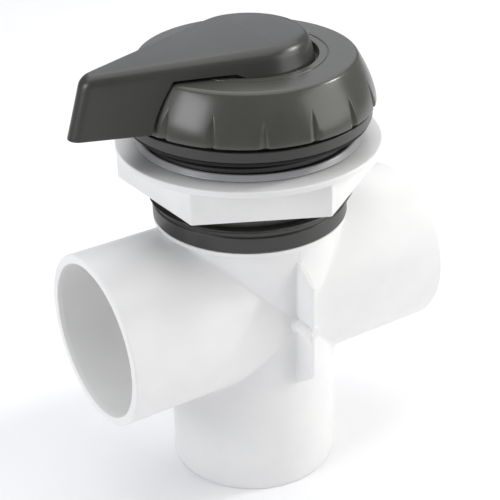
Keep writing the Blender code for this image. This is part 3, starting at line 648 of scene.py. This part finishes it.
def build_nut(nut_pvc, ring_acetal):
    """Hexagon below a round disc; columns crowd towards the six corners.

    Each row is (blend, offset, z): its radius is (1 - blend) * disc + blend * hexagon + offset,
    held inside the disc, so both edges get arcs of their own.
    """
    side = np.linspace(0, 1, 17)[:-1]
    ease = np.concatenate([0.5 * side ** 1.9, 1 - 0.5 * (1 - side) ** 1.9])
    angles = np.concatenate([np.radians(HEX_TURN + 60 * (k + ease)) for k in range(6)])
    low, high = NUT[0][2], NUT[1][2]
    disc_low = high - NUT_DISC_H
    bend = np.linspace(0, math.pi / 2, 6)
    bore = NUT_BORE_R - NUT_DISC_R
    rows = [(0, bore, low + 0.4), (0, bore + 0.1, low + 0.12), (0, bore + 0.4, low), (1, -0.9, low)]
    rows += [(1, HEX_EDGE * (math.sin(t) - 1), low + HEX_EDGE * (1 - math.cos(t))) for t in bend]
    rows += [(1, 0, low + 0.7), (1, 0, low + 6.0), (1, 0, disc_low - 0.8)]
    rows += [
        (1, HEX_FILLET * (1 - math.cos(t)), disc_low - HEX_FILLET * (1 - math.sin(t)))
        for t in bend
    ]
    rows += [(0, -0.7, disc_low), (0, -0.4, disc_low)]
    rows += [
        (0, DISC_LOW_EDGE * (math.sin(t) - 1), disc_low + DISC_LOW_EDGE * (1 - math.cos(t)))
        for t in bend
    ]
    rows += [(0, 0, disc_low + 0.55), (0, 0, high - 0.75)]
    rows += [
        (0, DISC_TOP_EDGE * (math.cos(t) - 1), high - DISC_TOP_EDGE * (1 - math.sin(t)))
        for t in bend
    ]
    rows += [(0, -0.8, high)]
    rows += [(0, bore + 0.4, high), (0, bore + 0.1, high - 0.12), (0, bore, high - 0.4)]
    blend, offset, z = np.array(rows)[:, :, None].transpose(1, 0, 2)
    radius = (1 - blend) * NUT_DISC_R + blend * hexagon(angles) + offset
    radius = np.minimum(radius, NUT_DISC_R - 0.4 * blend * (z > disc_low - 0.6))
    skin = np.stack([radius * np.cos(angles), radius * np.sin(angles), z + 0 * radius], -1)
    add_piece(
        "nut_skin", [inner_thread(low + 0.4, high - 0.4, angles), (skin, False, True)],
        nut_pvc, "nut", ["lock_nut"],
    )
    # The slip ring's mid grey is partly the acetal's own tone and partly painted shade from the cap
    # overhead.
    low, high, r = SLIP[0][2], SLIP[1][2], SLIP[1][0]
    add_piece("slip_ring_skin", [turned([
        (NUT_BORE_R, low, 0.2), (r, low, 0.1), (r, low + 0.35, 0.3), (r - 1.25, high, 0.5),
        (NUT_BORE_R, high, 0.2),
    ])], ring_acetal, "nut_ring", ["nut_slip_ring"])


# ---- cap ----
def cap_radius(height):
    """Outside of the skirt: cap radius - draw * (height / cap height) ^ 1.5."""
    return CAP_R - CAP_DRAW * np.clip(height / CAP_H, 0, 1) ** CAP_POWER


def flute_depth(angles, height):
    """Narrow V grooves round the skirt, with a gentle and a steep side.

    off is the distance round the skirt from a groove's bottom in millimetres. The depth is
    full depth * (1 - |off| / side's width - height / flute height), kept at or above 0, so
    each groove narrows as it runs out upwards.
    """
    pitch = 360 / FLUTES
    off = ((np.degrees(angles) - FLUTE_TURN + pitch / 2) % pitch - pitch / 2) + FLUTE_STEEP * 1.2
    off = np.radians((off + pitch / 2) % pitch - pitch / 2) * CAP_R
    side = np.where(off < 0, -off / FLUTE_GENTLE, off / FLUTE_STEEP)
    return FLUTE_DEPTH * np.clip(1 - side - (height / FLUTE_H) ** 2, 0, 1)


def build_cap(cap_plastic_painted_sheen):
    """Fluted cap: one outline carried round Z, less the flutes, with columns set close
    together at each flute."""
    low = CAP[0][2]
    share = np.concatenate([np.linspace(0, 0.76, 9)[:-1], np.linspace(0.76, 1.0, 25)[:-1]])
    turn = (np.arange(FLUTES)[:, None] + share[None]).ravel() * 2 * math.pi / FLUTES
    angles = turn + math.radians(FLUTE_TURN)
    heights = np.concatenate([[1.0], np.linspace(1.6, CAP_H - 3.0, 22)])
    skirt = [(cap_radius(h), low + h, 0) for h in heights]
    outline = rounded([
        (NUT_BORE_R, low + 1.0, 0), (NUT_BORE_R + 0.4, low + 0.5, 0.1),
        (SKIRT_IN_R, low + 0.5, 0.3), (SKIRT_IN_R, low + THREAD_RISE, 0.5),
        (SKIRT_IN_R + 0.9, low + THREAD_RISE, 0.4), (LIP_R, low, 0.2),
        (CAP_R, low, 0.3), *skirt,
        (cap_radius(CAP_H), CAP_TOP, 2.4), (GROOVE_OUT_R + 0.9, CAP_TOP, 0),
        (GROOVE_OUT_R, CAP_TOP, 0.1), (GROOVE_OUT_R - 0.15, CAP_TOP - GROOVE_DEPTH, 0.1),
        (GROOVE_IN_R + 0.15, CAP_TOP - GROOVE_DEPTH, 0.1), (GROOVE_IN_R, CAP_TOP, 0.1),
        (RECESS_R, CAP_TOP, 0.35), (RECESS_R - 0.15, CAP_TOP - RECESS_DEPTH - MOAT, 0.2),
        (RECESS_R - 1.5, CAP_TOP - RECESS_DEPTH - MOAT, 0.2),
        (RECESS_R - 1.7, CAP_TOP - RECESS_DEPTH, 0.2),
        (BOSS_HOLE_R, CAP_TOP - RECESS_DEPTH, 0.2), (BOSS_HOLE_R, CAP_TOP - CAP_ROOF, 0.2),
        (NUT_BORE_R, CAP_TOP - CAP_ROOF, 0.5), (NUT_BORE_R, low + THREAD_END, 0),
    ], arc_steps=6)
    r, z = outline[:, :1], outline[:, 1:]
    outside = r > cap_radius(z - low) - 1.0
    r = r - np.where(outside, flute_depth(angles[None], np.maximum(z - low, 0)), 0)
    skin = np.stack([r * np.cos(angles), r * np.sin(angles), z + 0 * r], -1)
    add_piece(
        "cap_skin", [inner_thread(low + 1.0, low + THREAD_END, angles, 10), (skin, False, True)],
        cap_plastic_painted_sheen, "cap", ["screw_cap"],
    )


# ---- handle ----
def plan_point(station, height, inset):
    """Half outline of the handle at a height above the cap's top.

    station runs 0 to 1 round the tip circle, 1 to 2 along the straight side, which touches
    both circles, and 2 to 3 round the hub circle. The hub narrows with height by the draft
    and the tip leans in. Returns x and y >= 0.
    """
    share = (height + DROP) / (DROP + TIP_RISE)
    hub = HUB_R - HUB_DRAFT * height - inset
    tip = TIP_W - 0.6 * inset
    centre = -(HANDLE_REACH - TIP_LEAN * share - inset - tip)
    lean = np.arcsin((hub - tip) / -centre)
    u = np.clip(station, 0, 1)
    angle_tip = math.pi - (math.pi / 2 - lean) * u
    v = np.clip(station - 1, 0, 1)
    w = np.clip(station - 2, 0, 1)
    angle_hub = (math.pi / 2 + lean) * (1 - w)
    tip_x, tip_y = centre + tip * np.cos(angle_tip), tip * np.sin(angle_tip)
    hub_x, hub_y = hub * np.cos(angle_hub), hub * np.sin(angle_hub)
    on_side = (station > 1) & (station < 2)
    mix = np.where(on_side, v, (station >= 2).astype(float))
    touch = math.pi / 2 + lean
    touch_x, touch_y = centre + tip * np.cos(touch), tip * np.sin(touch)
    base_x = np.where(station > 1, touch_x, tip_x)
    base_y = np.where(station > 1, touch_y, tip_y)
    return base_x + (hub_x - base_x) * mix, base_y + (hub_y - base_y) * mix


def crown(x, height):
    """Height of the sloping, slightly domed top over the cap's top plane."""
    slope = (HUB_RISE - TIP_RISE) / HANDLE_REACH
    share = np.clip((height + DROP) / (DROP + HUB_RISE), 0, 1)
    return CAP_TOP + height + slope * np.minimum(x, 0) * share


def underside(x, y):
    """Lowest height of the handle over a place.

    Under the hub it lies in the cap's recess, then a short slope climbs to the clearance
    over the cap's top. Further out it follows the skirt's curve, moved out by the
    clearance, down to the lever's flat lower edge.
    """
    r = np.hypot(x, y)
    climb = np.clip((r - HUB_R - CLIMB_START) / CLIMB_RUN, 0, 1)
    sunk = RECESS_DEPTH - RECESS_CLEAR
    inner = CAP_TOP - sunk + (sunk + TOP_CLEAR) * climb
    edge = cap_radius(np.array(CAP_H)) - 1.2 + LEVER_CLEAR
    drop = np.clip((r - edge) / (CAP_R + LEVER_CLEAR - edge), 0, 1)
    skirt = CAP_TOP - CAP_H + CAP_H * (1 - drop) ** (1 / CAP_POWER) + TOP_CLEAR * (1 - drop)
    return np.maximum(np.where(r < edge, inner, skirt), CAP_TOP - DROP)


def build_handle(handle_plastic_painted_shade):
    """One skin made of cross-sections from the tip to the far side of the hub.

    Each section is a closed loop: top from the middle outwards, fillet, side down to the
    underside's height, lower edge, hollow, and the same mirrored. Every row is the plan
    outline at its own height and inset, so the sides keep their draft.
    """
    station = np.concatenate([
        np.linspace(0, 1, 17)[:-1], 1 + np.linspace(0, 1, 181)[:-1], 2 + np.linspace(0, 1, 73)
    ])
    rows = []
    top_x, top_y = plan_point(station, HUB_RISE, HANDLE_FILLET)
    for share in (0.0, 0.25, 0.5, 0.75, 0.93):
        dome = TOP_DOME * (1 - share ** 2) * np.clip(top_y / 12, 0, 1)
        rows.append((top_x, top_y * share, crown(top_x, HUB_RISE) + dome))
    for bend in np.linspace(math.pi / 2, 0, 10):
        height = HUB_RISE - HANDLE_FILLET * (1 - math.sin(bend))
        x, y = plan_point(station, height, HANDLE_FILLET * (1 - math.cos(bend)))
        rows.append((x, y, crown(x, height)))
    x, y = plan_point(station, 0.0, 0.0)
    for _ in range(14):
        z_low = underside(x, y)
        x, y = plan_point(station, z_low - CAP_TOP, 0.0)
    side_top = HUB_RISE - HANDLE_FILLET
    side_low = z_low + EDGE_ROUND - CAP_TOP
    for share in (0.05, 0.2, 0.4, 0.6, 0.8, 0.95, 1.0):
        height = side_top + (side_low - side_top) * share
        x, y = plan_point(station, height, 0.0)
        sunk = (crown(x, side_top) - CAP_TOP - side_top) * (1 - share)
        rows.append((x, y, CAP_TOP + height + sunk))
    for bend in np.linspace(0, math.pi / 2, 4)[1:]:
        x, y = plan_point(station, z_low - CAP_TOP, EDGE_ROUND * (1 - math.cos(bend)))
        rows.append((x, y, z_low + EDGE_ROUND * (1 - math.sin(bend))))
    x, y = plan_point(station, z_low - CAP_TOP, HANDLE_WALL)
    wall_low = underside(x, y)
    beyond = np.clip((np.hypot(x, y) - CAP_R - 1.0) / 1.5, 0, 1)
    rows.append((x, y, wall_low))
    roof = wall_low + (crown(x, HUB_RISE) - ROOF_THICK - wall_low) * beyond
    x, y = plan_point(station, roof - CAP_TOP, HANDLE_WALL + HOLLOW_DRAFT)
    for share in (1.0, 0.7, 0.35, 0.0):
        rows.append((x, y * share, np.where(beyond > 0, roof, underside(x, y * share))))
    half = np.stack([np.stack(row, -1) for row in rows], 1)
    skin = np.concatenate([half, half[:, -2:0:-1] * [1, -1, 1]], 1)
    low = CAP_TOP - PLATE - 0.6
    boss = turned([
        (0.001, low, 0), (BOSS_R, low, 0.4), (BOSS_R, CAP_TOP, 0), (0.001, CAP_TOP, 0),
    ], 64)
    add_piece(
        "handle_skin", [(skin, False, True), boss], handle_plastic_painted_shade, "rotor",
        ["handle"],
    )


# ---- inner pieces ----
def build_rotor(acetal, rubber, ptfe, stainless):
    """Gate rotor, its saddle seal, wear ring and washer.

    The gate is a wall section carried part of a turn about the stem, with its ends gathered
    to points inside. The seal's section runs round a circle in the port's plane, bent onto
    the rotor by x = -sqrt(radius^2 - y^2).
    """
    low, high = ROTOR[0][2], ROTOR[1][2]
    outer, inner = ROTOR_OUT_R, ROTOR_IN_R
    disc, ring_top = high - ROTOR_LID, low + ROTOR_BASE
    base = turned([
        (inner, low, 0.4), (outer, low, 0.4), (outer, ring_top, 0.3), (inner, ring_top, 0.3),
    ])
    lid = around(rounded([
        (0.0, disc, 0), (outer, disc, 0.3), (outer, high, 0.5), (0.0, high, 0),
    ]), full_turn()), False, True
    half = math.radians(GATE_HALF)
    angles = math.pi + np.linspace(-half, half, 90)[None]
    section = rounded([
        (inner, ring_top - 0.5, 0), (outer, ring_top - 0.5, 0),
        (outer, disc + 0.5, 0), (inner, disc + 0.5, 0),
    ], closed=True)
    r, z = section[:, :1], section[:, 1:]
    gate = np.stack([r * np.cos(angles), r * np.sin(angles), z + 0 * angles], -1)
    first, last = (
        np.repeat(gate[:, end].mean(0)[None, None], len(section), 0) for end in (0, -1)
    )
    gate = np.concatenate([first, gate, last], 1)
    add_piece(
        "rotor_skin", [base, lid, (gate, True, False)], acetal, "rotor",
        ["diverter_rotor"],
    )

    t = full_turn(160)[None]
    corner = np.linspace(0, 2 * math.pi, 16, endpoint=False)[:, None]
    squash = np.abs(np.cos(corner)) ** 0.5 * np.sign(np.cos(corner))
    rise = np.abs(np.sin(corner)) ** 0.5 * np.sign(np.sin(corner))
    radius = SEAL_R + SEAL_T * squash
    ring = SEAL_LOOP_R + SEAL_HALF_W * rise
    y = ring * np.cos(t) + 0 * radius
    seal = np.stack([-np.sqrt(radius ** 2 - y ** 2), y, PORT_Z + ring * np.sin(t)], -1)
    add_piece("seal_skin", [(seal, True, True)], rubber, "rotor", ["gate_seal"])

    low, high, r = WEAR[0][2], WEAR[1][2], WEAR[1][0]
    add_piece("wear_ring_skin", [turned([
        (WEAR_IN_R, low, 0.1), (r, low, 0.1), (r, high, 0.1), (WEAR_IN_R, high, 0.1),
    ])], ptfe, "valve", ["rotor_wear_ring"])
    low, high, r = WASHER[0][2], WASHER[1][2], WASHER[1][0]
    add_piece("washer_skin", [turned([
        (SCREW_HOLE_R, low, 0.1), (r, low, 0.3), (r, high, 0.15), (SCREW_HOLE_R, high, 0.1),
    ], 96)], stainless, "rotor", ["rotor_washer"])


def finish_frame_nodes(materials):
    """Inner nodes whose CAD shape is right keep it and get their material."""
    for name, material in materials.items():
        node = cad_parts[name]
        node.data.materials.clear()
        node.data.materials.append(material)
        node.data.shade_smooth()
        node.data.set_sharp_from_angle(angle=math.radians(35))


# ---- stage ----
def build_stage():
    """Flat pale floor, pale world and soft area lights, with plain view settings."""
    floor_mesh = bpy.data.meshes.new("studio_floor")
    size = 4.0              # metres from the middle to an edge
    floor_mesh.from_pydata(
        [(-size, -size, 0), (size, -size, 0), (size, size, 0), (-size, size, 0)], [], [(0, 1, 2, 3)]
    )
    floor = bpy.data.objects.new("studio_floor", floor_mesh)
    bpy.context.scene.collection.objects.link(floor)
    floor_mesh.materials.append(pale_floor("pale_floor"))
    floor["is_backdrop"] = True

    world = bpy.data.worlds.new("studio")
    bpy.context.scene.world = world
    world.use_nodes = True
    background = world.node_tree.nodes["Background"]
    background.inputs["Color"].default_value = linear("fafbff")
    background.inputs["Strength"].default_value = 0.24
    for name, spot, aim, size, power, colour in (
        ("key_softbox", (0.86, -0.30, 0.74), (0, 0, 0.14), (0.15, 0.15), 3.4, "fffdfa"),
        ("right_softbox", (0.90, -0.85, 0.55), (0, 0, 0.10), (1.00, 0.80), 6.6, "fffefc"),
        ("left_softbox", (-1.12, -0.04, 0.66), (0, 0, 0.12), (0.60, 0.60), 6.2, "fbfcff"),
        ("back_softbox", (0.75, 1.15, 0.80), (0, 0, 0.17), (1.30, 0.90), 2.4, "f4f7ff"),
        ("top_softbox", (0.20, 0.30, 1.35), (0, 0.1, 0), (1.8, 1.8), 15.0, "ffffff"),
    ):
        data = bpy.data.lights.new(name, "AREA")
        data.shape = "RECTANGLE"
        data.size, data.size_y = size
        data.energy = power
        data.color = linear(colour)[:3]
        light = bpy.data.objects.new(name, data)
        light.location = spot
        light.rotation_euler = (Vector(aim) - Vector(spot)).to_track_quat("-Z", "Y").to_euler()
        bpy.context.scene.collection.objects.link(light)
    bpy.context.scene.view_settings.view_transform = "Standard"


def pale_floor(name):
    """White paper."""
    material, tree, shader, coords = new_material(name, {"Roughness": 0.8})
    mix_colours(tree, shader, noise(tree, coords, 60, 2.0), "f6f6f7", "f9f9fa")
    return material


def add_camera():
    """Camera on the -X, -Y side, looking down on the valve."""
    right = Vector((0.83769, -0.54589, -0.01651))
    up = Vector((0.27760, 0.39957, 0.87366))
    back = Vector((-0.47033, -0.73644, 0.48626))
    data = bpy.data.cameras.new("camera")
    data.sensor_width = 36.0
    data.lens = 90.28
    data.clip_start = 0.01
    camera = bpy.data.objects.new("camera", data)
    camera.matrix_world = Matrix((
        (right.x, up.x, back.x, -0.23539),
        (right.y, up.y, back.y, -0.36822),
        (right.z, up.z, back.z, 0.33699),
        (0, 0, 0, 1),
    ))
    bpy.context.scene.collection.objects.link(camera)
    bpy.context.scene.camera = camera


def main():
    add_camera()
    pvc = moulded_pvc("injection_moulded_pvc", "ececec", "f0f0ef", 0.36)
    nut_pvc = moulded_pvc("injection_moulded_nut_pvc", "e7e7e6", "ececeb", 0.32)
    abs_dark = textured_abs("glass_filled_abs", "2f2e2c", "353432", 0.36)
    # The cap and the handle are one ABS in two tones: the cap's lighter base colour is painted
    # sheen, and the handle's darker base colour is painted shade.
    cap_plastic_painted_sheen = textured_abs("spark_textured_abs_cap_painted_sheen", "454540", "4b4b46", 0.24)
    handle_plastic_painted_shade = textured_abs("spark_textured_abs_handle_painted_shade", "373734", "3d3d3a", 0.30)
    rubber = moulded_rubber("moulded_epdm_rubber")
    acetal = natural_polymer("moulded_natural_acetal", "dcd9cf", "e8e6de", 0.35)
    ptfe = natural_polymer("skived_ptfe", "e6e6e2", "f2f2ee", 0.45)
    stainless = turned_stainless("turned_stainless_steel")

    build_body(pvc)
    build_neck(abs_dark)
    build_deck_ring(abs_dark, rubber)
    # Slip ring material: mid grey that is partly its own tone and partly painted shade from the cap
    # overhead.
    build_nut(nut_pvc, natural_polymer("grey_acetal_painted_shade", "a8a8aa", "b2b2b4", 0.25))
    build_cap(cap_plastic_painted_sheen)
    build_handle(handle_plastic_painted_shade)
    build_rotor(acetal, rubber, ptfe, stainless)
    finish_frame_nodes({
        "bonnet": abs_dark, "stem": acetal, "rotor_screw": stainless,
        "bonnet_o_ring": rubber, "stem_o_ring_lower": rubber, "stem_o_ring_upper": rubber,
        "stem_thrust_washer": ptfe, "cap_slip_washer": ptfe,
    })
    build_stage()


main()
({
    "cad": [list(corner) for corner in CAD_BOX],
    "visual": [list(corner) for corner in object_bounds()],
})
